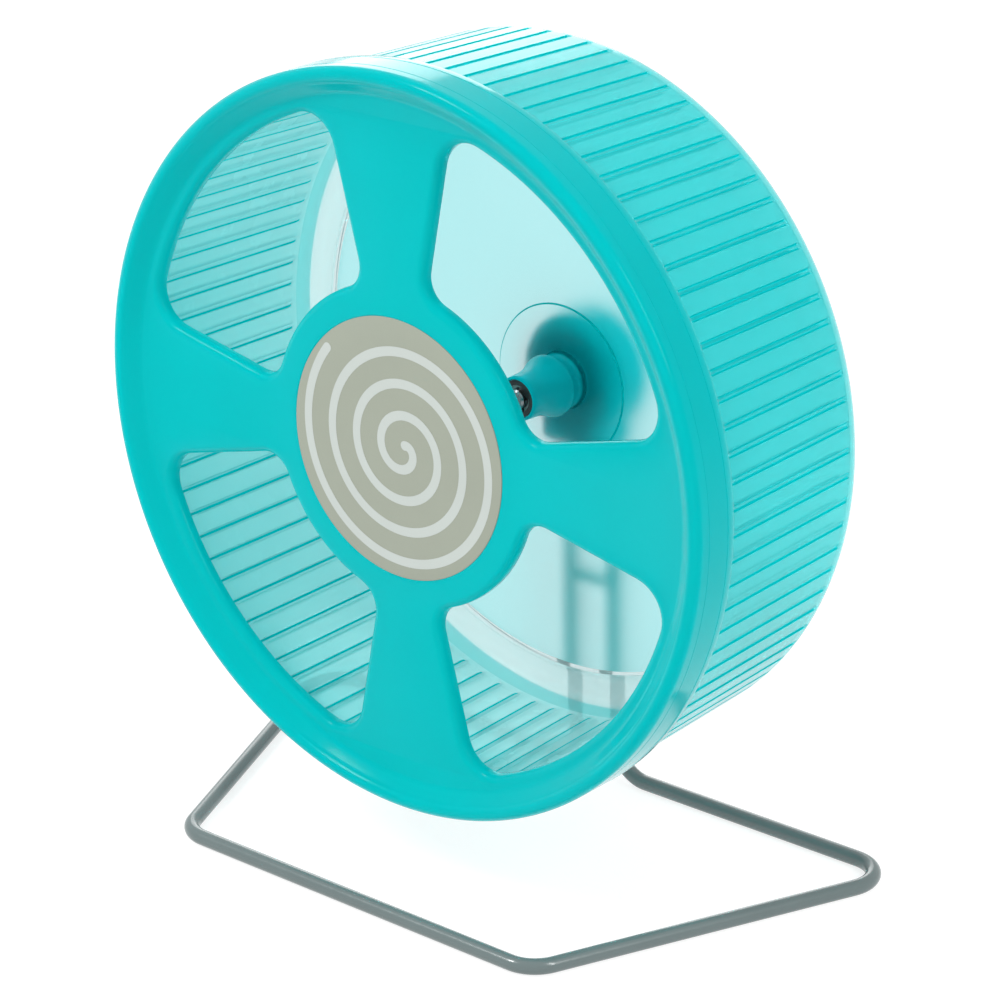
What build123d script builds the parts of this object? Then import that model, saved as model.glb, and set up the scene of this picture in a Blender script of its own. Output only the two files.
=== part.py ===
from build123d import *
import math
import os

# Free-standing exercise wheel for small rodents.
# Row frame: +Z up, -Y is the open front, +X is right seen from the front.
# Origin: middle of the footprint box on the floor.  Millimetres.

# ---------------- driving dimensions ----------------
# wheel, measured from the flat front face (y = 0 at the face, + to the back)
RIM_R = 140.0            # outer radius of the front cover
FACE_T = 2.2             # thickness of the flat face
FACE_FLAT_R = 128.8      # where the flat face ends and the rim slope starts
RIM_PROUD = 5.8          # how far the rim crest stands in front of the face
SKIRT_END = 14.5         # rear edge of the skirt
SKIRT_IN_R = 138.15      # inner radius of the skirt
LABEL_R = 49.3
LABEL_T = 0.3
WIN_R_IN = 60.6          # windows: ring sector with radial sides
WIN_R_OUT = 124.6
WIN_HALF = 31.9          # half angle, degrees
WIN_FIL_IN = 10.0
WIN_FIL_OUT = 13.0
WIN_LIP_T = 1.9          # wall of the rolled lip
WIN_LIP_END = 5.2        # lip depth behind the face plane
WIN_ROUND = 3.0          # rounding of the lip's front edge
WHEEL_PHASE = 1.6        # rest angle of the wheel, degrees

DRUM_FRONT = -1.8        # front edge of the drum, inside the rim groove
DRUM_R_FRONT = 137.95    # outer radius there
DRUM_DRAFT = 1.9         # degrees
DRUM_WALL = 2.0
DRUM_REAR = 98.3         # rear foot ring of the drum
DISC_IN = 92.0           # inner face of the recessed back disc
DISC_T = 2.2
DISC_EDGE_R = 117.5
RIBS = 90
RIB_W = 1.5
RIB_H = 1.1
RIB_START = 3.0
RIB_END = 87.6
GROOVE_W = 1.9
GROOVE_D = 0.65
GROOVE_START = 18.0
GROOVE_END = 88.5
RIB_PHASE = 2.5

TIP_Y = 66.3             # front end of the hub stem
TIP_R = 8.6
SHOULDER_R = 12.0
SHOULDER_Y = 85.0
AXLE_R = 4.0
AXLE_FRONT = 64.9
BRG_Y0, BRG_Y1 = 88.0, 93.0    # ball bearing 8 x 16 x 5
BRG_OUT_R = 8.0
BRG_PITCH_R = 6.0
BALL_R = 1.1905
BALLS = 9

# stand
WIRE_R = 3.0
AXLE_H = 170.7           # axle above the floor
FRONT_HALF = 86.0        # half width of the front rail, centre lines
REAR_HALF = 147.0
FRONT_Y = -30.5          # front rail, wheel-face frame
REAR_Y = 112.6           # rear rails and uprights, wheel-face frame
UPRIGHT_X = 10.7
CORNER_R = 14.0          # centre-line bend radii
UPRIGHT_BEND_R = 14.0
UPRIGHT_TOP = 14.0       # wire ends above the axle line, inside the head
TIE_R = 2.2
TIE_Z = -86.0            # cross tie below the axle
HEAD_R = 23.6
HEAD_BOTTOM = -28.5
HEAD_FOOT_HALF = 15.4
HEAD_Y0, HEAD_Y1 = 98.3, 120.6

# ---------------- frame ----------------
Y_MIN = FRONT_Y - WIRE_R
Y_MAX = 121.4            # rear end of the axle
FACE_Y = -(Y_MIN + Y_MAX) / 2      # face plane in the row frame
PLACE = Location((0, FACE_Y, AXLE_H))

os.makedirs("parts", exist_ok=True)


def out(shape, name, turn=0.0):
    if turn:
        shape = shape.rotate(Axis.Y, -turn)
    s = PLACE * shape
    s.label = name
    export_step(s, "parts/" + name + ".step")
    return s


def turned(points_or_edges):
    """Closed (r, y) outline turned about the wheel's axis (the Y axis)."""
    face = make_face(points_or_edges)
    return revolve(face, Axis.Y, 360)


def poly(pts):
    return Polyline(*[(r, y) for r, y in pts], close=True)


def tube(r_out, r_in, y0, y1):
    return turned(poly([(r_in, y0), (r_out, y0), (r_out, y1), (r_in, y1)]))


def y_cyl(x, z, r, y0, y1):
    c = Cylinder(r, y1 - y0, rotation=(-90, 0, 0), align=(Align.CENTER, Align.CENTER, Align.MIN))
    return Location((x, y0, z)) * c


# ---------------- front cover ----------------
PLATE_R = 128.4


def rim_ring():
    """Rim and skirt as one turned ring, inner wall at the plate's edge."""
    o = [Line((PLATE_R, 0), (FACE_FLAT_R, 0)),
         Line((FACE_FLAT_R, 0), (134.4, -4.4)),
         ThreePointArc((134.4, -4.4), (137.3, -RIM_PROUD), (RIM_R, -2.6)),
         Line((RIM_R, -2.6), (RIM_R, SKIRT_END - 0.5)),
         Line((RIM_R, SKIRT_END - 0.5), (RIM_R - 0.5, SKIRT_END)),
         Line((RIM_R - 0.5, SKIRT_END), (SKIRT_IN_R, SKIRT_END)),
         Line((SKIRT_IN_R, SKIRT_END), (SKIRT_IN_R, -2.4)),
         ThreePointArc((SKIRT_IN_R, -2.4), (137.1, -3.7), (135.7, -2.9)),
         Line((135.7, -2.9), (129.6, FACE_T)),
         Line((129.6, FACE_T), (PLATE_R, FACE_T)),
         Line((PLATE_R, FACE_T), (PLATE_R, 0))]
    return turned(o)


def plate():
    body = y_cyl(0, 0, PLATE_R, 0.0, FACE_T)
    for k in range(4):
        body += window(WIN_LIP_T, FACE_T - 0.4, WIN_LIP_END, 45 + 90 * k)
    for k in range(4):
        body -= window(0.0, -20, 20, 45 + 90 * k)
    # shallow seat for the label
    body -= y_cyl(0, 0, LABEL_R + 0.1, -1.0, LABEL_T)
    # rounded lip all round each window
    lip = []
    for e in body.edges():
        c = e.center()
        bb = e.bounding_box()
        if abs(bb.min.Y) < 1e-3 and abs(bb.max.Y) < 1e-3 and LABEL_R + 3 < math.hypot(c.X, c.Z) < PLATE_R - 2:
            lip.append(e)
    return fillet(lip, WIN_ROUND)


def sector(grow, half_grow=0.0):
    """Window outline in the XZ plane, centred on +X; grow pushes it outwards."""
    r0, r1 = WIN_R_IN - grow, WIN_R_OUT + grow
    h = math.radians(WIN_HALF)
    # radial sides moved outwards by grow
    def side(r, s):
        a = h + math.asin(grow / r)
        return (r * math.cos(a), s * r * math.sin(a))
    a0, b0 = side(r0, -1), side(r0, 1)
    a1, b1 = side(r1, -1), side(r1, 1)
    e = [ThreePointArc(a0, (r0, 0), b0), Line(b0, b1), ThreePointArc(b1, (r1, 0), a1), Line(a1, a0)]
    f = make_face(e)
    inner = [v for v in f.vertices() if math.hypot(v.X, v.Y) < 0.5 * (r0 + r1)]
    outer = [v for v in f.vertices() if math.hypot(v.X, v.Y) >= 0.5 * (r0 + r1)]
    f = fillet(inner, WIN_FIL_IN + grow)
    outer = [v for v in f.vertices() if any(abs(v.X - p[0]) + abs(v.Y - p[1]) < 1e-3 for p in (a1, b1))]
    f = fillet(outer, WIN_FIL_OUT + grow)
    return f


def window(grow, y0, y1, ang):
    f = sector(grow)
    s = extrude(f, amount=y1 - y0)               # along +Z of the sketch plane
    # sketch plane XY -> row XZ plane, thickness towards +Y
    s = Rotation(90, 0, 0) * s                   # x stays, y -> z, z -> -y
    s = Location((0, y1, 0)) * s
    return s.rotate(Axis.Y, -ang)


front_cover = plate() + rim_ring()
out(front_cover, "front_cover", WHEEL_PHASE)

label = y_cyl(0, 0, LABEL_R, 0.0, LABEL_T)
out(label, "spiral_label", WHEEL_PHASE)


# ---------------- drum ----------------
t = math.tan(math.radians(DRUM_DRAFT))


def drum_r(y):
    return DRUM_R_FRONT - t * (y - DRUM_FRONT)


def drum_shell():
    w = DRUM_WALL
    ro = drum_r(88.6)
    ri = drum_r(88.6) - w
    # outer skin
    e = []
    e.append(Line((drum_r(DRUM_FRONT), DRUM_FRONT), (ro, 88.6)))
    e.append(ThreePointArc((ro, 88.6), (ro - 2.9, 95.4), (ro - 9.6, DRUM_REAR)))
    e.append(Line((ro - 9.6, DRUM_REAR), (119.6, DRUM_REAR)))
    e.append(Line((119.6, DRUM_REAR), (116.2, DISC_IN + DISC_T)))
    e.append(Line((116.2, DISC_IN + DISC_T), (11.4, DISC_IN + DISC_T)))
    e.append(Line((11.4, DISC_IN + DISC_T), (11.0, 96.2)))
    e.append(Line((11.0, 96.2), (BRG_OUT_R, 96.2)))
    # bore: bearing seat, relief, clearance, bush seat, flange seat, clip recess
    e.append(Line((BRG_OUT_R, 96.2), (BRG_OUT_R, BRG_Y0)))
    e.append(Line((BRG_OUT_R, BRG_Y0), (6.9, BRG_Y0)))
    e.append(Line((6.9, BRG_Y0), (6.9, 86.8)))
    e.append(Line((6.9, 86.8), (4.7, 86.8)))
    e.append(Line((4.7, 86.8), (4.7, 80.2)))
    e.append(Line((4.7, 80.2), (6.0, 80.2)))
    e.append(Line((6.0, 80.2), (6.0, 70.6)))
    e.append(Line((6.0, 70.6), (7.6, 70.6)))
    e.append(Line((7.6, 70.6), (7.6, TIP_Y)))
    # stem outside: tip, flare, shoulder, neck, back disc
    e.append(Line((7.6, TIP_Y), (8.1, TIP_Y)))
    e.append(ThreePointArc((8.1, TIP_Y), (8.45, TIP_Y + 0.15), (TIP_R, TIP_Y + 0.5)))
    e.append(Line((TIP_R, TIP_Y + 0.5), (8.8, 71.5)))
    e.append(ThreePointArc((8.8, 71.5), (9.6, 77.2), (11.3, 82.6)))
    e.append(ThreePointArc((11.3, 82.6), (11.75, 84.6), (10.9, 86.4)))
    e.append(ThreePointArc((10.9, 86.4), (10.2, 87.0), (9.4, 87.3)))
    e.append(Line((9.4, 87.3), (9.4, 90.3)))
    e.append(ThreePointArc((9.4, 90.3), (9.8, 91.1), (10.6, 91.5)))
    e.append(Line((10.6, 91.5), (29.6, 91.5)))
    e.append(Line((29.6, 91.5), (29.9, DISC_IN)))
    e.append(Line((29.9, DISC_IN), (DISC_EDGE_R, DISC_IN)))
    e.append(Line((DISC_EDGE_R, DISC_IN), (121.2, DRUM_REAR - w)))
    e.append(Line((121.2, DRUM_REAR - w), (ri - 7.8, DRUM_REAR - w)))
    e.append(ThreePointArc((ri - 7.8, DRUM_REAR - w), (ri - 2.4, 94.1), (ri, 88.6)))
    e.append(Line((ri, 88.6), (drum_r(DRUM_FRONT) - w, DRUM_FRONT)))
    e.append(Line((drum_r(DRUM_FRONT) - w, DRUM_FRONT), (drum_r(DRUM_FRONT), DRUM_FRONT)))
    return turned(e)


def bar(width, y0, y1, r_off0, r_off1):
    """Prism along the wall: from r_off0 to r_off1 measured from the wall's outer skin."""
    pts = []
    a, b = drum_r(y0), drum_r(y1)
    f = make_face(Polyline((a + r_off0, y0), (a + r_off1, y0), (b + r_off1, y1), (b + r_off0, y1), close=True))
    s = extrude(f, amount=width / 2, both=True)
    return s


drum = drum_shell()
rib = bar(RIB_W, RIB_START, RIB_END, -DRUM_WALL - RIB_H, -DRUM_WALL + 0.3)
groove = bar(GROOVE_W, GROOVE_START, GROOVE_END, -GROOVE_D, 1.5)
ribs, grooves = [], []
for k in range(RIBS):
    a = RIB_PHASE - WHEEL_PHASE + 360.0 / RIBS * k
    ribs.append(rib.rotate(Axis.Y, -a))
    grooves.append(groove.rotate(Axis.Y, -a))
drum = drum.fuse(*ribs)
drum = drum.cut(*grooves)
if isinstance(drum, ShapeList):
    drum = max(drum, key=lambda s: s.volume)
out(drum, "wheel_drum", WHEEL_PHASE)

# ---------------- hub fittings on the wheel ----------------
bush = tube(7.4, AXLE_R + 0.06, 69.0, 70.55) + tube(6.0, AXLE_R + 0.06, 70.55, 80.2)
out(bush, "front_bush")
out(tube(BRG_OUT_R, 6.5, 93.2, 95.8), "bearing_retainer")


groove_ring = Torus(BRG_PITCH_R, BALL_R + 0.05, rotation=(90, 0, 0))
groove_ring = Location((0, (BRG_Y0 + BRG_Y1) / 2, 0)) * groove_ring
outer_race = turned(poly([(6.95, BRG_Y0 + 0.6), (7.25, BRG_Y0 + 0.6), (7.25, BRG_Y0), (BRG_OUT_R, BRG_Y0),
                          (BRG_OUT_R, BRG_Y1), (7.25, BRG_Y1), (7.25, BRG_Y1 - 0.6), (6.95, BRG_Y1 - 0.6)])) - groove_ring
out(outer_race, "bearing_outer_race")
shield_f = tube(7.25, 5.25, BRG_Y0 + 0.2, BRG_Y0 + 0.5)
shield_r = tube(7.25, 5.25, BRG_Y1 - 0.5, BRG_Y1 - 0.2)
out(Compound(children=[shield_f, shield_r]), "bearing_shields")

# ---------------- cage and balls ----------------
balls = []
for k in range(BALLS):
    a = 2 * math.pi * k / BALLS
    balls.append(Location((BRG_PITCH_R * math.cos(a), (BRG_Y0 + BRG_Y1) / 2, BRG_PITCH_R * math.sin(a))) * Sphere(BALL_R))
cage = tube(6.6, 5.4, BRG_Y0 + 0.85, BRG_Y1 - 0.85)
for k in range(BALLS):
    a = 360 * k / BALLS
    pocket = Location((4.0, (BRG_Y0 + BRG_Y1) / 2, 0)) * Cylinder(
        BALL_R + 0.06, 4.0, rotation=(0, 90, 0), align=(Align.CENTER, Align.CENTER, Align.MIN))
    cage -= pocket.rotate(Axis.Y, -a)
# the pockets leave the two side rings joined by the bridges between the balls
out(cage, "bearing_cage")
out(Compound(children=balls), "bearing_balls")

# ---------------- axle and what it carries ----------------
axle = turned(poly([(0, AXLE_FRONT), (3.3, AXLE_FRONT), (AXLE_R, AXLE_FRONT + 0.7), (AXLE_R, 66.9), (3.5, 66.9),
                    (3.5, 67.9), (AXLE_R, 67.9), (AXLE_R, BRG_Y1), (6.0, BRG_Y1), (6.0, HEAD_Y0), (AXLE_R, HEAD_Y0),
                    (AXLE_R, Y_MAX - 0.7), (3.3, Y_MAX), (0, Y_MAX)]))
out(axle, "axle")
inner_race = tube(5.0, AXLE_R + 0.02, BRG_Y0, BRG_Y1) - groove_ring
out(inner_race, "bearing_inner_race")
out(tube(7.0, AXLE_R + 0.1, 68.05, 68.85), "thrust_washer")

# E-clip: ring with three inward lobes, open towards the lower left
clip2d = Circle(7.15) - Circle(5.25)
for ang, w in ((42, 5.0), (42 + 128, 3.6), (42 - 128, 3.6)):
    a = math.radians(ang)
    lobe = Pos(4.9 * math.cos(a), 4.9 * math.sin(a)) * Rot(0, 0, ang) * Rectangle(3.6, w)
    clip2d += lobe & Circle(6.5)
mouth = Rot(0, 0, 42) * (Pos(-6.0, 0) * Rectangle(12.0, 5.6))
clip2d -= mouth
clip2d -= Circle(3.52)
clip = extrude(clip2d, amount=0.9)
clip = Rotation(90, 0, 0) * clip
clip = Location((0, 67.85, 0)) * clip
out(clip, "retaining_clip")

washer = tube(7.4, AXLE_R + 0.2, 113.0, 114.4)
out(washer, "axle_washer")
nut = extrude(RegularPolygon(6.5, 6, major_radius=False), amount=5.6)
nut = Location((0, 120.0, 0)) * (Rotation(90, 0, 0) * nut)
nut -= y_cyl(0, 0, AXLE_R + 0.02, 110, 130)
out(nut, "axle_nut")


# ---------------- stand wire ----------------
def arc_path(points, radii):
    return FilletPolyline(*points, radius=radii)


zb = -AXLE_H + WIRE_R
top = UPRIGHT_TOP
route = [
    (-UPRIGHT_X, REAR_Y, top), (-UPRIGHT_X, REAR_Y, zb), (-REAR_HALF, REAR_Y, zb), (-FRONT_HALF, FRONT_Y, zb),
    (FRONT_HALF, FRONT_Y, zb), (REAR_HALF, REAR_Y, zb), (UPRIGHT_X, REAR_Y, zb), (UPRIGHT_X, REAR_Y, top)]
radii = [UPRIGHT_BEND_R, CORNER_R, CORNER_R, CORNER_R, CORNER_R, UPRIGHT_BEND_R]
path = FilletPolyline(*route, radius=radii)
section = Plane(origin=route[0], z_dir=(0, 0, -1)) * Circle(WIRE_R)
wire = sweep(section, path=path)
print("wire volume", wire.volume, "expected", math.pi * WIRE_R ** 2 * path.length)
out(wire, "base_wire")

tie = Cylinder(TIE_R, 2 * UPRIGHT_X, rotation=(0, 90, 0))
tie = Location((0, REAR_Y, TIE_Z)) * tie
for s in (-1, 1):
    tie -= Location((s * UPRIGHT_X, REAR_Y, TIE_Z)) * Cylinder(WIRE_R, 30)
out(tie, "cross_tie")


# ---------------- stand head ----------------
def head_outline():
    o = Circle(HEAD_R) + Pos(0, (HEAD_BOTTOM - 4) / 2) * Rectangle(2 * HEAD_FOOT_HALF, -HEAD_BOTTOM + 4 - 8)
    foot = Pos(0, (HEAD_BOTTOM - 10) / 2) * Rectangle(2 * HEAD_FOOT_HALF, -HEAD_BOTTOM - 10 + 0.0)
    o = Circle(HEAD_R) + foot
    low = [v for v in o.vertices() if abs(v.Y - HEAD_BOTTOM) < 1e-3]
    o = fillet(low, 4.0)
    return o


def head_block(y0, y1):
    s = extrude(head_outline(), amount=y1 - y0)
    s = Rotation(90, 0, 0) * s
    return Location((0, y1, 0)) * s


mid = REAR_Y
screws_at = [(-17.6, 4.0), (17.6, 4.0), (0.0, -20.0)]
front = head_block(HEAD_Y0, mid)
f_edges = [e for e in front.edges() if abs(e.bounding_box().max.Y - HEAD_Y0) < 1e-3]
front = fillet(f_edges, 4.0)
rear = head_block(mid, HEAD_Y1)
r_edges = [e for e in rear.edges() if abs(e.bounding_box().min.Y - HEAD_Y1) < 1e-3]
rear = fillet(r_edges, 6.5)
for s in (-1, 1):
    ch = Location((s * UPRIGHT_X, REAR_Y, (UPRIGHT_TOP + HEAD_BOTTOM) / 2 - 2)) * Cylinder(WIRE_R + 0.02, UPRIGHT_TOP - HEAD_BOTTOM + 4)
    front -= ch
    rear -= ch
front -= y_cyl(0, 0, AXLE_R + 0.02, 90, 130)
rear -= y_cyl(0, 0, AXLE_R + 0.02, 90, 130)
rear -= y_cyl(0, 0, 9.0, 113.0, 130)
for x, z in screws_at:
    front -= y_cyl(x, z, 1.5, 103.0, mid)
    rear -= y_cyl(x, z, 1.7, mid, 130)
    rear -= y_cyl(x, z, 3.3, 116.2, 130)
out(front, "head_front_shell")
out(rear, "head_rear_shell")

screws = []
for x, z in screws_at:
    sc = y_cyl(x, z, 1.5, 103.5, 116.2) + y_cyl(x, z, 2.9, 116.2, 118.0)
    slot = Location((x, 118.0, z)) * Box(3.6, 1.6, 0.7)
    slot2 = Location((x, 118.0, z)) * Box(0.7, 1.6, 3.6)
    screws.append(sc - slot - slot2)
out(Compound(children=screws), "head_screws")
print("face y", FACE_Y)
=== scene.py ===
import bpy
import bmesh
import math
from mathutils import Matrix, Vector
from mathutils.geometry import tessellate_polygon


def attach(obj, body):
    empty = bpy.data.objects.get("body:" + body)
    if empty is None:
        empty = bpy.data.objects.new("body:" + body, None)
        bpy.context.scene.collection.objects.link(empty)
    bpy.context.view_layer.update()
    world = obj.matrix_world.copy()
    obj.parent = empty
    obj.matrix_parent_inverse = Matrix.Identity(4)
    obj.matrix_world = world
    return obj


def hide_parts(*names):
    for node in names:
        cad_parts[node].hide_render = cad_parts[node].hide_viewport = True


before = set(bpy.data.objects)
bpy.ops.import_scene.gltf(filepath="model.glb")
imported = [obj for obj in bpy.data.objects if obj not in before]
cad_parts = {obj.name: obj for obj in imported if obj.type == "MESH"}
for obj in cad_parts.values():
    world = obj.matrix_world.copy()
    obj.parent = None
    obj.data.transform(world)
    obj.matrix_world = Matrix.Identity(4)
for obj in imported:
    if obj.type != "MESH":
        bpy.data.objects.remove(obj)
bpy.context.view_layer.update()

# ---------------- frame, millimetres in the wheel's own coordinates ----------------
FACE_Y = -43.95
AXLE_H = 170.7
PHASE = math.radians(1.6)


def P(x, y, z):
    return ((x) / 1000.0, (y + FACE_Y) / 1000.0, (z + AXLE_H) / 1000.0)


# ---------------- materials ----------------
def new_mat(name):
    m = bpy.data.materials.new(name)
    m.use_nodes = True
    nt = m.node_tree
    nt.nodes.clear()
    out = nt.nodes.new("ShaderNodeOutputMaterial")
    return m, nt, out


def node(nt, kind, **inputs):
    n = nt.nodes.new(kind)
    for k, v in inputs.items():
        n.inputs[k.replace("_", " ")].default_value = v
    return n


def coords(nt):
    return nt.nodes.new("ShaderNodeTexCoord").outputs["Object"]


def noise(nt, scale, detail=3.0, rough=0.55, vec=None, dims=None):
    n = nt.nodes.new("ShaderNodeTexNoise")
    n.inputs["Scale"].default_value = scale
    n.inputs["Detail"].default_value = detail
    n.inputs["Roughness"].default_value = rough
    nt.links.new(vec if vec is not None else coords(nt), n.inputs["Vector"])
    return n.outputs["Fac"]


def ramp(nt, fac, stops):
    n = nt.nodes.new("ShaderNodeValToRGB")
    cr = n.color_ramp
    while len(cr.elements) > 1:
        cr.elements.remove(cr.elements[-1])
    cr.elements[0].position = stops[0][0]
    cr.elements[0].color = stops[0][1]
    for p, c in stops[1:]:
        e = cr.elements.new(p)
        e.color = c
    nt.links.new(fac, n.inputs["Fac"])
    return n.outputs["Color"]


def maprange(nt, val, a, b, c, d):
    n = nt.nodes.new("ShaderNodeMapRange")
    for i, v in zip((1, 2, 3, 4), (a, b, c, d)):
        n.inputs[i].default_value = v
    nt.links.new(val, n.inputs[0])
    return n.outputs[0]


def bump(nt, height, strength, distance):
    n = nt.nodes.new("ShaderNodeBump")
    n.inputs["Strength"].default_value = strength
    n.inputs["Distance"].default_value = distance
    nt.links.new(height, n.inputs["Height"])
    return n.outputs["Normal"]


def rgba(c, a=1.0):
    return (c[0], c[1], c[2], a)


def hexlin(h):
    h = h.lstrip("#")
    v = [int(h[i:i + 2], 16) / 255.0 for i in (0, 2, 4)]
    return tuple(x / 12.92 if x <= 0.04045 else ((x + 0.055) / 1.055) ** 2.4 for x in v)


def translucent_plastic(name, body, glow, clear, p_clear, p_glow, rough_clear, rough_coat, bump_scale, bump_dist,
                        gloss_min=0.012, gloss_max=0.9, gloss_power=3.6, bend_ior=1.02, vary=0.03, front=None):
    """Tinted see-through plastic. A share p_clear passes light straight on (rough_clear blurs it), and of the rest
    a share p_glow lets it through diffusely. The surface gloss lies over both."""
    m, nt, out = new_mat(name)
    nz = noise(nt, bump_scale, 4.0)
    nrm = bump(nt, nz, 0.35, bump_dist)
    big = noise(nt, 14.0, 3.0)
    df = node(nt, "ShaderNodeBsdfDiffuse", Roughness=0.2)
    lo = tuple(x * (1 - vary) for x in body)
    hi = tuple(min(1, x * (1 + vary)) for x in body)
    nt.links.new(ramp(nt, big, [(0.3, rgba(lo)), (0.7, rgba(hi))]), df.inputs["Color"])
    nt.links.new(nrm, df.inputs["Normal"])
    tl = node(nt, "ShaderNodeBsdfTranslucent", Color=rgba(glow))
    if front:
        # painted shade and painted light: the colour runs from a deeper teal at the front of the wheel to the pale
        # body colour towards the rear
        sep = nt.nodes.new("ShaderNodeSeparateXYZ")
        nt.links.new(coords(nt), sep.inputs[0])
        depth = maprange(nt, sep.outputs["Y"], (12.0 + FACE_Y) / 1000, (84.0 + FACE_Y) / 1000, 0.0, 1.0)
        nt.links.new(ramp(nt, depth, [(0.0, rgba(front)), (1.0, rgba(body))]), df.inputs["Color"])
        nt.links.new(ramp(nt, depth, [(0.0, rgba(front)), (1.0, rgba(glow))]), tl.inputs["Color"])
    nt.links.new(nrm, tl.inputs["Normal"])
    rf = node(nt, "ShaderNodeBsdfRefraction", Color=rgba(clear), Roughness=rough_clear, IOR=bend_ior)
    m1 = node(nt, "ShaderNodeMixShader", Fac=p_glow)
    nt.links.new(df.outputs[0], m1.inputs[1])
    nt.links.new(tl.outputs[0], m1.inputs[2])
    m2 = node(nt, "ShaderNodeMixShader", Fac=p_clear)
    nt.links.new(m1.outputs[0], m2.inputs[1])
    nt.links.new(rf.outputs[0], m2.inputs[2])
    gl = node(nt, "ShaderNodeBsdfGlossy", Color=(1, 1, 1, 1))
    nt.links.new(maprange(nt, noise(nt, 60.0, 4.0), 0.3, 0.7, rough_coat * 0.85, rough_coat * 1.2), gl.inputs["Roughness"])
    nt.links.new(nrm, gl.inputs["Normal"])
    lw = node(nt, "ShaderNodeLayerWeight", Blend=0.5)
    nt.links.new(nrm, lw.inputs["Normal"])
    pw = nt.nodes.new("ShaderNodeMath")
    pw.operation = "POWER"
    pw.inputs[1].default_value = gloss_power
    nt.links.new(lw.outputs["Facing"], pw.inputs[0])
    m3 = nt.nodes.new("ShaderNodeMixShader")
    nt.links.new(maprange(nt, pw.outputs[0], 0.0, 1.0, gloss_min, gloss_max), m3.inputs["Fac"])
    nt.links.new(m2.outputs[0], m3.inputs[1])
    nt.links.new(gl.outputs[0], m3.inputs[2])
    nt.links.new(m3.outputs[0], out.inputs["Surface"])
    return m


def solid(name, color, rough, metallic=0.0, spec=0.5, bump_scale=900.0, bump_dist=0.00004, vary=0.05, coat=0.0,
          rough_vary=0.2, stretch=None):
    m, nt, out = new_mat(name)
    vec = None
    if stretch:
        mp = nt.nodes.new("ShaderNodeMapping")
        mp.inputs["Scale"].default_value = stretch
        nt.links.new(coords(nt), mp.inputs["Vector"])
        vec = mp.outputs["Vector"]
    fine = noise(nt, bump_scale, 4.0, 0.6, vec)
    pr = node(nt, "ShaderNodeBsdfPrincipled", Metallic=metallic)
    pr.inputs["Specular IOR Level"].default_value = spec
    pr.inputs["Coat Weight"].default_value = coat
    big = noise(nt, 35.0, 5.0, 0.6)
    lo = tuple(x * (1 - vary) for x in color)
    hi = tuple(min(1, x * (1 + vary)) for x in color)
    nt.links.new(ramp(nt, big, [(0.3, rgba(lo)), (0.7, rgba(hi))]), pr.inputs["Base Color"])
    nt.links.new(maprange(nt, fine, 0.3, 0.7, rough * (1 - rough_vary), min(1, rough * (1 + rough_vary))), pr.inputs["Roughness"])
    nt.links.new(bump(nt, fine, 0.4, bump_dist), pr.inputs["Normal"])
    nt.links.new(pr.outputs[0], out.inputs["Surface"])
    return m


mat_cover = translucent_plastic("teal_cover", (0.0, 0.53, 0.545), (0.0, 0.80, 0.82), (0.0, 0.86, 0.88), 0.14, 0.35, 0.10, 0.11, 700.0, 0.00002, 0.003, 0.9, 4.8)
mat_wall = translucent_plastic("teal_wall", (0.0, 0.50, 0.51), (0.0, 0.74, 0.75), (0.40, 0.92, 0.93), 0.40, 0.36, 0.10, 0.20, 500.0, 0.00002, 0.003, 0.78, 4.2)
# inner wall: near-white body ramping to teal at the front, painted light towards the rear and painted shade towards
# the front
mat_wall_in = translucent_plastic("teal_wall_inner", (0.95, 0.98, 0.98), (0.90, 0.98, 0.98), (0.88, 0.98, 0.98), 0.40, 0.20, 0.05, 0.25, 500.0, 0.00002, 0.006, 0.4, 3.6, 1.02, 0.03, (0.42, 0.84, 0.85))
# groove walls: darker, more saturated teal with almost no gloss, painted shade in the grooves
mat_edge = translucent_plastic("teal_groove", (0.0, 0.50, 0.52), (0.0, 0.72, 0.74), (0.0, 0.80, 0.81), 0.10, 0.35, 0.10, 0.25, 500.0, 0.00002, 0.001, 0.08, 4.0)
mat_rib = translucent_plastic("teal_rib", (0.0, 0.44, 0.46), (0.0, 0.72, 0.74), (0.0, 0.80, 0.81), 0.15, 0.50, 0.10, 0.25, 500.0, 0.00002, 0.003, 0.2)
mat_disc_in = translucent_plastic("teal_back_inner", (0.0, 0.50, 0.52), (0.0, 0.80, 0.82), (0.88, 0.875, 0.88), 0.975, 0.5, 0.015, 0.10, 500.0, 0.00001, 0.002, 0.4, 4.0, 1.33)
mat_disc_out = translucent_plastic("teal_back_matt", (0.0, 0.60, 0.62), (0.0, 0.92, 0.95), (1.0, 1.0, 1.0), 0.505, 0.85, 0.56, 0.5, 1400.0, 0.00003, 0.002, 0.4, 4.0, 1.33)
mat_band = translucent_plastic("teal_band", (0.80, 0.90, 0.91), (0.82, 0.97, 0.97), (0.90, 0.97, 0.97), 0.50, 0.50, 0.16, 0.22, 400.0, 0.00001, 0.004, 0.10)
mat_stem = translucent_plastic("teal_stem", (0.0, 0.56, 0.62), (0.0, 0.80, 0.84), (0.0, 0.80, 0.82), 0.10, 0.30, 0.2, 0.15, 600.0, 0.00002, 0.006, 0.5)
mat_label = solid("label_film", (0.270, 0.295, 0.240), 0.5, spec=0.35, bump_scale=1500.0, bump_dist=0.00002, vary=0.02)
mat_print = solid("label_print", (0.43, 0.47, 0.445), 0.45, spec=0.35, bump_scale=1500.0, bump_dist=0.00002, vary=0.02)
mat_wire = solid("wire_paint", hexlin("#5b6868"), 0.22, spec=0.5, bump_scale=420.0, bump_dist=0.00003, vary=0.04, coat=0.15)
mat_head = solid("head_plastic", (0.0, 0.45, 0.51), 0.22, spec=0.12, bump_scale=900.0, bump_dist=0.00004)
mat_steel = solid("axle_steel", (0.22, 0.24, 0.25), 0.26, metallic=1.0, bump_scale=300.0, bump_dist=0.00002, stretch=(1, 12, 1))
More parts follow.
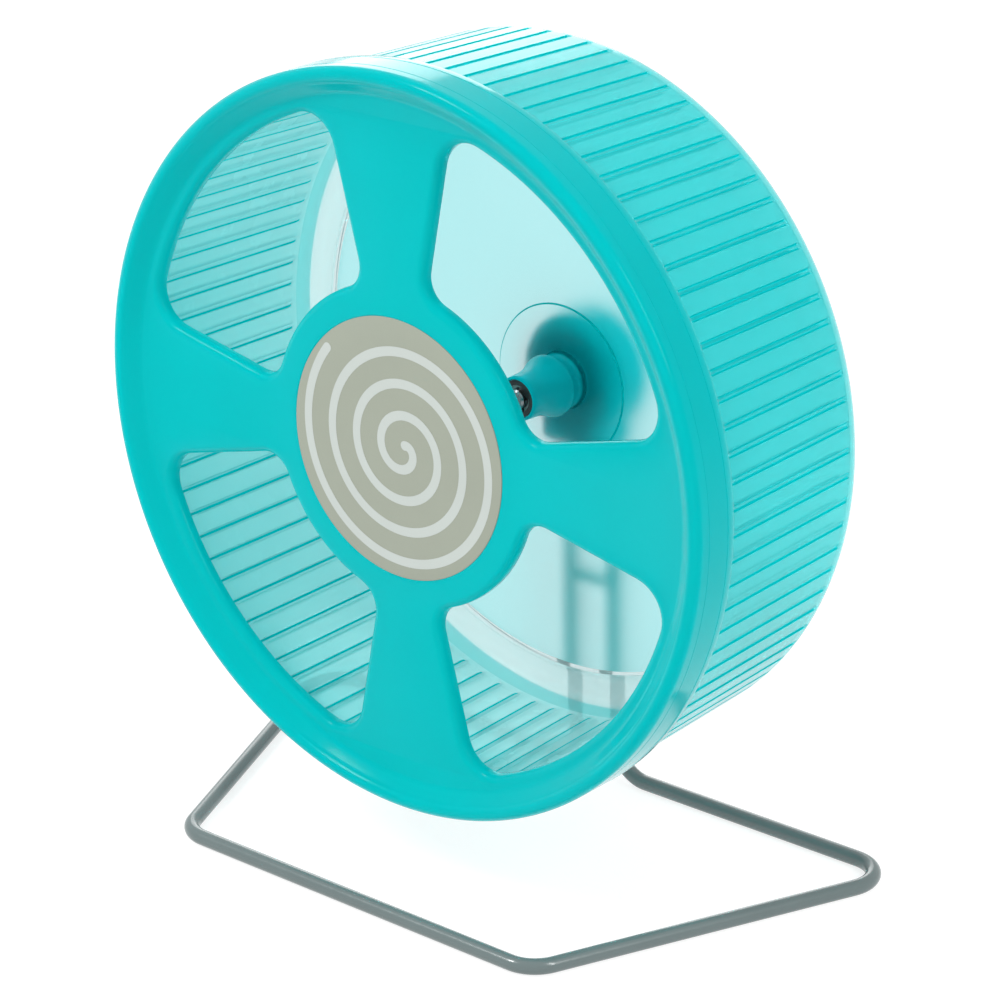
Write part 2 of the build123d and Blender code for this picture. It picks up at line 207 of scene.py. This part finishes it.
mat_zinc = solid("zinc_steel", (0.52, 0.53, 0.55), 0.34, metallic=1.0, bump_scale=500.0, bump_dist=0.00003)
mat_clip = solid("black_steel", (0.010, 0.012, 0.012), 0.35, spec=0.5, bump_scale=700.0, bump_dist=0.00003)
mat_bearing = solid("bearing_steel", (0.60, 0.61, 0.62), 0.16, metallic=1.0, bump_scale=400.0, bump_dist=0.00001)
mat_nylon = solid("white_nylon", (0.78, 0.80, 0.78), 0.45, spec=0.4)
mat_cage = solid("cage_nylon", (0.05, 0.055, 0.06), 0.5, spec=0.4)

CAD_LOOKS = {
    "cross_tie": mat_wire, "head_front_shell": mat_head, "head_rear_shell": mat_head, "head_screws": mat_zinc,
    "axle": mat_steel, "axle_washer": mat_zinc, "axle_nut": mat_zinc, "bearing_inner_race": mat_bearing,
    "thrust_washer": mat_nylon, "retaining_clip": mat_clip, "front_bush": mat_nylon, "bearing_outer_race": mat_bearing,
    "bearing_shields": mat_bearing, "bearing_retainer": mat_nylon, "bearing_cage": mat_cage, "bearing_balls": mat_bearing,
}
for name, mat in CAD_LOOKS.items():
    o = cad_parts[name]
    o.data.materials.clear()
    o.data.materials.append(mat)


# ---------------- mesh helpers ----------------
def make_object(name, verts, faces, mats, face_mats=None, smooth_angle=35.0, fix_normals=True):
    me = bpy.data.meshes.new(name)
    me.from_pydata(verts, [], faces)
    for m in mats:
        me.materials.append(m)
    if face_mats is not None:
        me.polygons.foreach_set("material_index", face_mats)
    me.update()
    if fix_normals:
        bm = bmesh.new()
        bm.from_mesh(me)
        bmesh.ops.recalc_face_normals(bm, faces=bm.faces)
        bm.to_mesh(me)
        bm.free()
    me.polygons.foreach_set("use_smooth", [True] * len(me.polygons))
    me.set_sharp_from_angle(angle=math.radians(smooth_angle))
    o = bpy.data.objects.new(name, me)
    bpy.context.scene.collection.objects.link(o)
    return o


def arc(c, r, a0, a1, n):
    """Points of an arc in (r, y); angles in degrees."""
    out = []
    for i in range(n + 1):
        a = math.radians(a0 + (a1 - a0) * i / n)
        out.append((c[0] + r * math.cos(a), c[1] + r * math.sin(a)))
    return out


def arc3(p, q, s, n):
    """Arc through three points, n steps, both ends included."""
    ax, ay, bx, by, cx, cy = *p, *q, *s
    d = 2 * (ax * (by - cy) + bx * (cy - ay) + cx * (ay - by))
    ux = ((ax * ax + ay * ay) * (by - cy) + (bx * bx + by * by) * (cy - ay) + (cx * cx + cy * cy) * (ay - by)) / d
    uy = ((ax * ax + ay * ay) * (cx - bx) + (bx * bx + by * by) * (ax - cx) + (cx * cx + cy * cy) * (bx - ax)) / d
    r = math.hypot(ax - ux, ay - uy)
    a0, am, a1 = math.atan2(ay - uy, ax - ux), math.atan2(by - uy, bx - ux), math.atan2(cy - uy, cx - ux)
    def unwrap(a, ref):
        while a - ref > math.pi:
            a -= 2 * math.pi
        while a - ref < -math.pi:
            a += 2 * math.pi
        return a
    am = unwrap(am, a0)
    a1 = unwrap(a1, am)
    return [(ux + r * math.cos(a0 + (a1 - a0) * i / n), uy + r * math.sin(a0 + (a1 - a0) * i / n)) for i in range(n + 1)]


def lathe(name, profile, columns, mats, seg_mats=None, mod=None, smooth_angle=35.0, closed=True, pick=None):
    """profile: [(r, y, tag)] round a closed outline; columns: [(theta, u)]; theta from +X towards +Z."""
    M, N = len(profile), len(columns)
    verts = []
    for th, u in columns:
        c, s = math.cos(th + PHASE), math.sin(th + PHASE)
        for (r, y, tag) in profile:
            rr = mod(r, y, tag, u) if mod else r
            verts.append(P(rr * c, y, rr * s))
    faces, fm = [], []
    segs = M if closed else M - 1
    for j in range(N):
        j2 = (j + 1) % N
        for i in range(segs):
            i2 = (i + 1) % M
            faces.append((j * M + i, j * M + i2, j2 * M + i2, j2 * M + i))
            mi = seg_mats[i] if seg_mats else 0
            fm.append(pick(mi, profile[i], profile[i2], columns[j][1], columns[j2][1]) if pick else mi)
    return make_object(name, verts, faces, mats, fm, smooth_angle)


def even(n):
    return [(2 * math.pi * i / n, 0.0) for i in range(n)]


def smoothstep(a, b, x):
    t = max(0.0, min(1.0, (x - a) / (b - a)))
    return t * t * (3 - 2 * t)


# ---------------- drum ----------------
DRUM_FRONT, DRUM_R_FRONT, WALL, DRUM_REAR = -1.8, 137.95, 2.0, 98.3
T_DRAFT = math.tan(math.radians(1.9))


def drum_r(y):
    return DRUM_R_FRONT - T_DRAFT * (y - DRUM_FRONT)


RIBS = 90
pitch = 2 * math.pi / RIBS
rib0 = math.radians(2.5) - PHASE
offs = (-1.25, -0.95, -0.5, 0.0, 0.5, 0.95, 1.25)
cols = []
for k in range(RIBS):
    base = rib0 + k * pitch
    cols.append((base - pitch / 2, 99.0))
    for u in offs:
        cols.append((base + u / 137.0, u))


def rib_shape(u):
    u = abs(u)
    if u > 1.2:
        return 0.0
    if u > 0.9:
        return 0.45
    if u > 0.4:
        return 0.92
    return 1.0


def groove_shape(u):
    u = abs(u)
    if u > 1.2:
        return 0.0
    if u > 0.9:
        return 1.0
    return 1.0


def drum_mod(r, y, tag, u):
    if tag == "i":
        h = smoothstep(2.5, 7.0, y) * (1 - smoothstep(82.5, 88.0, y))
        return r - 1.05 * h * rib_shape(u)
    if tag == "o":
        h = smoothstep(17.4, 18.6, y) * (1 - smoothstep(87.4, 88.5, y))
        return r - 0.62 * h * groove_shape(u)
    return r


ro, ri = drum_r(88.6), drum_r(88.6) - WALL
prof, seg = [], []


def add(points, tag, mat):
    for p in points:
        prof.append((p[0], p[1], tag))
        seg.append(mat)


WALLM, DIN, DOUT, BAND, STEM, WALLI, EDGE, RIB = 0, 1, 2, 3, 4, 5, 6, 7
ys_o = [-1.8, 4, 12, 16.5, 17.4, 17.8, 18.2, 18.6, 20, 30, 42, 54, 66, 76, 84, 87.4, 87.8, 88.2]
add([(drum_r(y), y) for y in ys_o], "o", WALLM)
corner = arc3((ro, 88.6), (ro - 2.9, 95.4), (ro - 9.6, DRUM_REAR), 10)
add(corner[:5], "", WALLM)
add(corner[5:], "", BAND)
add([(121.5, DRUM_REAR), (119.6, DRUM_REAR)], "", BAND)
add([(118.6, 97.9), (116.8, 94.9)], "", BAND)
add([(116.0, 94.2)], "", BAND)
add([(115.7, 94.2)], "", DOUT)
add([(108.0, 94.2), (90.0, 94.2), (60.0, 94.2), (30.0, 94.2), (15.0, 94.2)], "", DOUT)
add([(11.4, 94.2), (11.1, 94.6), (11.0, 96.0), (10.8, 96.2), (8.0, 96.2), (8.0, 88.0), (6.9, 88.0), (6.9, 86.8), (4.7, 86.8), (4.7, 80.2), (6.0, 80.2),
     (6.0, 70.6), (7.6, 70.6), (7.6, 66.3)], "", STEM)
add([(8.1, 66.3), (8.4, 66.45), (8.58, 66.8), (8.68, 68.5), (8.8, 71.5)], "", STEM)
add(arc3((8.8, 71.5), (9.45, 77.0), (11.6, 82.6), 8)[1:], "", STEM)
add([(11.9, 83.5), (12.05, 84.4), (11.95, 85.2), (11.6, 85.9), (11.05, 86.5), (10.3, 87.0), (9.4, 87.3)], "", STEM)
add([(9.4, 90.3), (9.55, 90.8), (9.9, 91.2), (10.3, 91.42)], "", STEM)
add([(10.8, 91.5), (20.0, 91.5), (29.3, 91.5)], "", DIN)
add([(29.6, 91.55), (29.9, 91.95)], "", EDGE)
add([(30.2, 92.0)], "", DIN)
add([(60.0, 92.0), (90.0, 92.0), (108.0, 92.0), (114.6, 92.0)], "", DIN)
add([(116.6, 92.0), (117.5, 92.15), (118.6, 93.2), (120.2, 95.4), (121.2, 96.1), (122.2, 96.3)], "", BAND)
add([(124.0, 96.3)], "", BAND)
add(arc3((ri - 7.8, 96.3), (ri - 2.4, 94.1), (ri, 88.6), 8)[0:-1], "", BAND)
ys_i = [88.4, 88.0, 87.0, 86.0, 85.0, 84.0, 83.0, 82.5, 76, 66, 54, 42, 30, 18, 10, 7.0, 6.0, 5.0, 4.0, 3.0, 2.5, 0, -1.8]
add([(drum_r(y) - WALL, y) for y in ys_i], "i", WALLI)


def drum_pick(mi, p, q, ua, ub):
    """Walls of the outer grooves get a darker, more saturated teal with little gloss: painted shade in the grooves.
    The tops of the inner bars have their own look: the plastic is thicker there.
    """
    if abs(ua) > 2 or abs(ub) > 2:
        return mi
    y = (p[1] + q[1]) / 2
    # painted shade: the outer groove walls take the darker groove material
    if mi == WALLM and p[2] == "o" and q[2] == "o" and 18.0 < y < 88.0 and abs(ua + ub) / 2 > 0.62:
        return EDGE
    if mi == WALLI and p[2] == "i" and q[2] == "i" and 4.5 < y < 85.5 and abs(ua + ub) / 2 < 0.6:
        return RIB
    return mi


drum = lathe("drum_shell", prof, cols, [mat_wall, mat_disc_in, mat_disc_out, mat_band, mat_stem, mat_wall_in, mat_edge, mat_rib],
             seg, drum_mod, 32.0, True, drum_pick)
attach(drum, "wheel")
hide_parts("wheel_drum")

# ---------------- front cover ----------------
WIN_R_IN, WIN_R_OUT, WIN_HALF, FIL_IN, FIL_OUT = 60.6, 124.6, math.radians(31.9), 10.0, 13.0


def window_outline():
    """Clear opening, centred on +X: list of ((u, v), (nu, nv)) counter-clockwise, normals out of the opening."""
    pts = []
    h = WIN_HALF
    # outer fillet centres and inner fillet centres
    co_r = WIN_R_OUT - FIL_OUT
    co_a = h - math.asin(FIL_OUT / co_r)
    ci_r = WIN_R_IN + FIL_IN
    ci_a = h - math.asin(FIL_IN / ci_r)
    n_out, n_fil, n_side, n_in = 40, 12, 10, 20
    # outer arc, from -co_a to +co_a
    for i in range(n_out + 1):
        a = -co_a + 2 * co_a * i / n_out
        pts.append(((WIN_R_OUT * math.cos(a), WIN_R_OUT * math.sin(a)), (math.cos(a), math.sin(a))))
    # outer upper fillet: from direction co_a to direction h + 90 deg
    c = (co_r * math.cos(co_a), co_r * math.sin(co_a))
    for i in range(1, n_fil + 1):
        a = co_a + (h + math.pi / 2 - co_a) * i / n_fil
        pts.append(((c[0] + FIL_OUT * math.cos(a), c[1] + FIL_OUT * math.sin(a)), (math.cos(a), math.sin(a))))
    d = (ci_r * math.cos(ci_a), ci_r * math.sin(ci_a))
    nrm = (math.cos(h + math.pi / 2), math.sin(h + math.pi / 2))
    p0 = (c[0] + FIL_OUT * nrm[0], c[1] + FIL_OUT * nrm[1])
    p1 = (d[0] + FIL_IN * nrm[0], d[1] + FIL_IN * nrm[1])
    for i in range(1, n_side):
        t = i / n_side
        pts.append(((p0[0] + (p1[0] - p0[0]) * t, p0[1] + (p1[1] - p0[1]) * t), nrm))
    for i in range(0, n_fil + 1):
        a = h + math.pi / 2 + (math.pi / 2 + ci_a - h) * i / n_fil
        pts.append(((d[0] + FIL_IN * math.cos(a), d[1] + FIL_IN * math.sin(a)), (math.cos(a), math.sin(a))))
    for i in range(1, n_in):
        a = ci_a - 2 * ci_a * i / n_in
        pts.append(((WIN_R_IN * math.cos(a), WIN_R_IN * math.sin(a)), (-math.cos(a), -math.sin(a))))
    # lower half by mirroring: inner lower fillet, lower side, outer lower fillet
    d2 = (d[0], -d[1])
    for i in range(0, n_fil + 1):
        a = math.pi - ci_a + (math.pi * 3 / 2 - h - (math.pi - ci_a)) * i / n_fil
        pts.append(((d2[0] + FIL_IN * math.cos(a), d2[1] + FIL_IN * math.sin(a)), (math.cos(a), math.sin(a))))
    nr2 = (nrm[0], -nrm[1])
    for i in range(1, n_side):
        t = i / n_side
        pts.append(((p1[0] + (p0[0] - p1[0]) * t, -(p1[1] + (p0[1] - p1[1]) * t)), nr2))
    c2 = (c[0], -c[1])
    for i in range(0, n_fil):
        a = -(h + math.pi / 2) + (h + math.pi / 2 - co_a) * i / n_fil
        pts.append(((c2[0] + FIL_OUT * math.cos(a), c2[1] + FIL_OUT * math.sin(a)), (math.cos(a), math.sin(a))))
    return pts


outline = window_outline()
verts, faces = [], []


def ring_at(k, d, y):
    a = math.radians(45 + 90 * k) + PHASE
    c, s = math.cos(a), math.sin(a)
    ids = []
    for (u, v), (nu, nv) in outline:
        uu, vv = u + nu * d, v + nv * d
        verts.append(P(uu * c - vv * s, y, uu * s + vv * c))
        ids.append(len(verts) - 1)
    return ids


def bridge(a, b):
    n = len(a)
    for i in range(n):
        faces.append((a[i], a[(i + 1) % n], b[(i + 1) % n], b[i]))


LIP_T, LIP_END, ROUND, FACE_T = 1.9, 5.2, 3.0, 2.2
lip_profile = [(ROUND * (1 - math.cos(math.radians(t))), ROUND * (1 - math.sin(math.radians(t)))) for t in (90, 78, 66, 54, 42, 30, 18, 8, 0)]
lip_profile = lip_profile + [(0.0, 4.85), (0.1, 5.08), (0.32, 5.2), (1.55, 5.2), (1.8, 5.08), (1.9, 4.85), (1.9, 2.55), (2.05, 2.28), (2.35, 2.2)]
front_loops, back_loops = [], []
for k in range(4):
    rings = [ring_at(k, d, y) for d, y in lip_profile]
    for a, b in zip(rings, rings[1:]):
        bridge(a, b)
    front_loops.append(rings[0])
    back_loops.append(rings[-1])

NC = 360
rim = []
rim += [(128.8, 0.0), (129.6, -0.35)]
rim += [(130.8, -1.25), (133.2, -3.4), (134.3, -4.35)]
rim += arc3((134.4, -4.4), (137.3, -5.8), (140.0, -2.6), 12)
rim += [(140.0, -1.6), (140.0, 0.35), (139.9, 0.5), (139.9, 0.8), (140.0, 0.95), (140.0, 7.0), (140.0, 10.6), (139.88, 10.75), (139.88, 11.05), (140.0, 11.2), (140.0, 14.0), (139.85, 14.35), (139.5, 14.5)]
rim += [(138.3, 14.5), (138.15, 14.35), (138.15, 8.0), (138.15, -2.4)]
rim += arc3((138.15, -2.4), (137.1, -3.7), (135.7, -2.9), 6)[1:]
rim += [(129.6, 2.2)]
rim_rings = []
for r, y in rim:
    ids = []
    for j in range(NC):
        a = 2 * math.pi * j / NC + PHASE
        verts.append(P(r * math.cos(a), y, r * math.sin(a)))
        ids.append(len(verts) - 1)
    rim_rings.append(ids)
for a, b in zip(rim_rings, rim_rings[1:]):
    bridge(a, b)
# shallow seat for the label: a fine gap round it
seat = []
for r, y in ((50.0, 0.0), (49.75, 0.0), (49.6, 0.12), (49.4, 0.25), (49.38, 0.3)):
    ids = []
    for j in range(NC):
        a = 2 * math.pi * j / NC + PHASE
        verts.append(P(r * math.cos(a), y, r * math.sin(a)))
        ids.append(len(verts) - 1)
    seat.append(ids)
for a, b in zip(seat, seat[1:]):
    bridge(a, b)
faces.append(tuple(seat[-1]))


def fill(outer, holes):
    polys = [[Vector((verts[i][0], verts[i][2], 0.0)) for i in loop] for loop in [outer] + holes]
    flat = [i for loop in [outer] + holes for i in loop]
    for tri in tessellate_polygon(polys):
        faces.append(tuple(flat[t] for t in tri))


fill(rim_rings[0], front_loops + [seat[0]])
fill(rim_rings[-1], back_loops)
cover = make_object("cover_shell", verts, faces, [mat_cover], None, 30.0)
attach(cover, "wheel")
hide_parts("front_cover")

# ---------------- label and its spiral ----------------
lab_prof = [(0.001, 0.0, ""), (20.0, 0.0, ""), (40.0, 0.0, ""), (49.1, 0.0, ""), (49.22, 0.04, ""), (49.28, 0.12, ""), (49.28, 0.3, ""), (0.001, 0.3, "")]
label = lathe("label_disc", lab_prof, even(256), [mat_label])
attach(label, "wheel")
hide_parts("spiral_label")

A0, B0, TH0, TURNS, LINE_W, CX, CZ = 47.4, 11.9, math.radians(138.7), 3.80, 3.6, 3.0, 0.3
verts, faces = [], []
steps = 720
left, right, centre = [], [], []
for i in range(steps + 1):
    th = TH0 + 2 * math.pi * TURNS * i / steps
    r = A0 - B0 * (th - TH0) / (2 * math.pi)
    x, z = CX + r * math.cos(th), CZ + r * math.sin(th)
    dr = -B0 / (2 * math.pi)
    tx, tz = dr * math.cos(th) - r * math.sin(th), dr * math.sin(th) + r * math.cos(th)
    n = math.hypot(tx, tz)
    tx, tz = tx / n, tz / n
    centre.append((x, z, tx, tz))
Y_PRINT = -0.035
for x, z, tx, tz in centre:
    for s in (-1, 1):
        verts.append(P(x - s * tz * LINE_W / 2, Y_PRINT, z + s * tx * LINE_W / 2))
for i in range(steps):
    faces.append((2 * i, 2 * i + 1, 2 * i + 3, 2 * i + 2))


def cap(index, sign):
    x, z, tx, tz = centre[index]
    a0 = math.atan2(tz, tx)
    ids = []
    for i in range(13):
        a = a0 + sign * 0 + (-math.pi / 2 + math.pi * i / 12) + (0 if sign > 0 else math.pi)
        verts.append(P(x + LINE_W / 2 * math.cos(a), Y_PRINT, z + LINE_W / 2 * math.sin(a)))
        ids.append(len(verts) - 1)
    faces.append(tuple(ids))


cap(0, -1)
cap(steps, 1)
spiral = make_object("label_spiral", verts, faces, [mat_print], None, 30.0, fix_normals=False)
# all faces look to the front
for p in spiral.data.polygons:
    if p.normal.y > 0:
        p.flip()
spiral.data.update()
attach(spiral, "wheel")

# ---------------- stand wire ----------------
WIRE_R = 3.0
FRONT_HALF, REAR_HALF, FRONT_Y, REAR_Y = 86.0, 147.0, -30.5, 112.6
UPRIGHT_X, CORNER_R, UPRIGHT_BEND_R, TOP = 10.7, 14.0, 14.0, 14.0
zb = -AXLE_H + WIRE_R
route = [Vector(p) for p in (
    (-UPRIGHT_X, REAR_Y, TOP), (-UPRIGHT_X, REAR_Y, zb), (-REAR_HALF, REAR_Y, zb), (-FRONT_HALF, FRONT_Y, zb),
    (FRONT_HALF, FRONT_Y, zb), (REAR_HALF, REAR_Y, zb), (UPRIGHT_X, REAR_Y, zb), (UPRIGHT_X, REAR_Y, TOP))]
radii = [UPRIGHT_BEND_R, CORNER_R, CORNER_R, CORNER_R, CORNER_R, UPRIGHT_BEND_R]
path = [route[0]]
for i in range(1, len(route) - 1):
    p, a, b = route[i], (route[i - 1] - route[i]).normalized(), (route[i + 1] - route[i]).normalized()
    ang = a.angle(b)
    r = radii[i - 1]
    t = r / math.tan(ang / 2)
    c = p + (a + b).normalized() * (r / math.sin(ang / 2))
    s0, s1 = p + a * t - c, p + b * t - c
    total = s0.angle(s1)
    axis = s0.cross(s1).normalized()
    for j in range(17):
        path.append(c + Matrix.Rotation(total * j / 16, 3, axis) @ s0)
path.append(route[-1])
pts = []
for a, b in zip(path, path[1:]):
    n = max(1, int((b - a).length / 12))
    for j in range(n):
        pts.append(a.lerp(b, j / n))
pts.append(path[-1])
verts, faces = [], []
SEG = 40
nrm = Vector((1, 0, 0))
rings = []
for i, p in enumerate(pts):
    t = (pts[min(i + 1, len(pts) - 1)] - pts[max(i - 1, 0)]).normalized()
    nrm = (nrm - t * nrm.dot(t)).normalized()
    bi = t.cross(nrm)
    ids = []
    for j in range(SEG):
        a = 2 * math.pi * j / SEG
        q = p + (nrm * math.cos(a) + bi * math.sin(a)) * (WIRE_R - 0.01)
        verts.append(P(*q))
        ids.append(len(verts) - 1)
    rings.append(ids)
for a, b in zip(rings, rings[1:]):
    for j in range(SEG):
        faces.append((a[j], a[(j + 1) % SEG], b[(j + 1) % SEG], b[j]))
faces.append(tuple(rings[0]))
faces.append(tuple(rings[-1]))
wire = make_object("stand_wire", verts, faces, [mat_wire], None, 40.0)
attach(wire, "stand")
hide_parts("base_wire")

# ---------------- studio ----------------
me = bpy.data.meshes.new("floor")
S = 12.0
me.from_pydata([(-S, -S, 0), (S, -S, 0), (S, S, 0), (-S, S, 0)], [], [(0, 1, 2, 3)])
floor = bpy.data.objects.new("floor", me)
bpy.context.scene.collection.objects.link(floor)
fm, nt, out = new_mat("floor_white")
d = node(nt, "ShaderNodeBsdfDiffuse", Color=(0.27, 0.27, 0.27, 1))
e = node(nt, "ShaderNodeEmission", Color=(1, 1, 1, 1), Strength=0.80)
ad = nt.nodes.new("ShaderNodeAddShader")
nt.links.new(d.outputs[0], ad.inputs[0])
nt.links.new(e.outputs[0], ad.inputs[1])
nt.links.new(ad.outputs[0], out.inputs["Surface"])
me.materials.append(fm)

w = bpy.data.worlds.new("studio")
w.use_nodes = True
w.node_tree.nodes["Background"].inputs["Color"].default_value = (1, 1, 1, 1)
w.node_tree.nodes["Background"].inputs["Strength"].default_value = 0.95
bpy.context.scene.world = w


def area(name, loc, target, size, power):
    l = bpy.data.lights.new(name, "AREA")
    l.shape = "RECTANGLE"
    l.size, l.size_y = size
    l.energy = power
    o = bpy.data.objects.new(name, l)
    bpy.context.scene.collection.objects.link(o)
    o.location = loc
    o.rotation_euler = (Vector(target) - Vector(loc)).to_track_quat("-Z", "Y").to_euler()
    return o


area("key", (-0.9, -1.3, 1.7), (0, 0, 0.17), (0.5, 0.5), 26.0)
area("fill_right", (1.6, -0.2, 1.3), (0, 0, 0.17), (0.35, 1.0), 16.0)
area("sheet_behind", (-1.95, 2.1, 0.98), (0, 0, 0.3), (1.3, 1.3), 12.0)

# ---------------- camera ----------------
R = 0.140
az, el, roll, dist, tx, tz, f = 0.7119, 0.3818, -0.0126, 9.4745, 0.2636, -0.1288, 3714.35
back = Vector((math.sin(az) * math.cos(el), -math.cos(az) * math.cos(el), math.sin(el)))
right = Vector((math.cos(az), math.sin(az), 0))
up = back.cross(right)
cr, sr = math.cos(roll), math.sin(roll)
r2 = right * cr + up * sr
u2 = up * cr - right * sr
origin = Vector((0, FACE_Y / 1000, AXLE_H / 1000))
C = origin + (back * dist + r2 * tx + u2 * tz) * R
cam = bpy.data.cameras.new("camera")
cam.sensor_fit = "HORIZONTAL"
cam.sensor_width = 36.0
cam.lens = f / 1000.0 * 36.0
cam.clip_start, cam.clip_end = 0.05, 60.0
co = bpy.data.objects.new("camera", cam)
bpy.context.scene.collection.objects.link(co)
m = Matrix((
    (r2.x, u2.x, back.x, C.x), (r2.y, u2.y, back.y, C.y), (r2.z, u2.z, back.z, C.z), (0, 0, 0, 1)))
co.matrix_world = m
bpy.context.scene.camera = co
bpy.context.scene.view_settings.view_transform = "Standard"
bpy.context.scene.view_settings.look = "None"
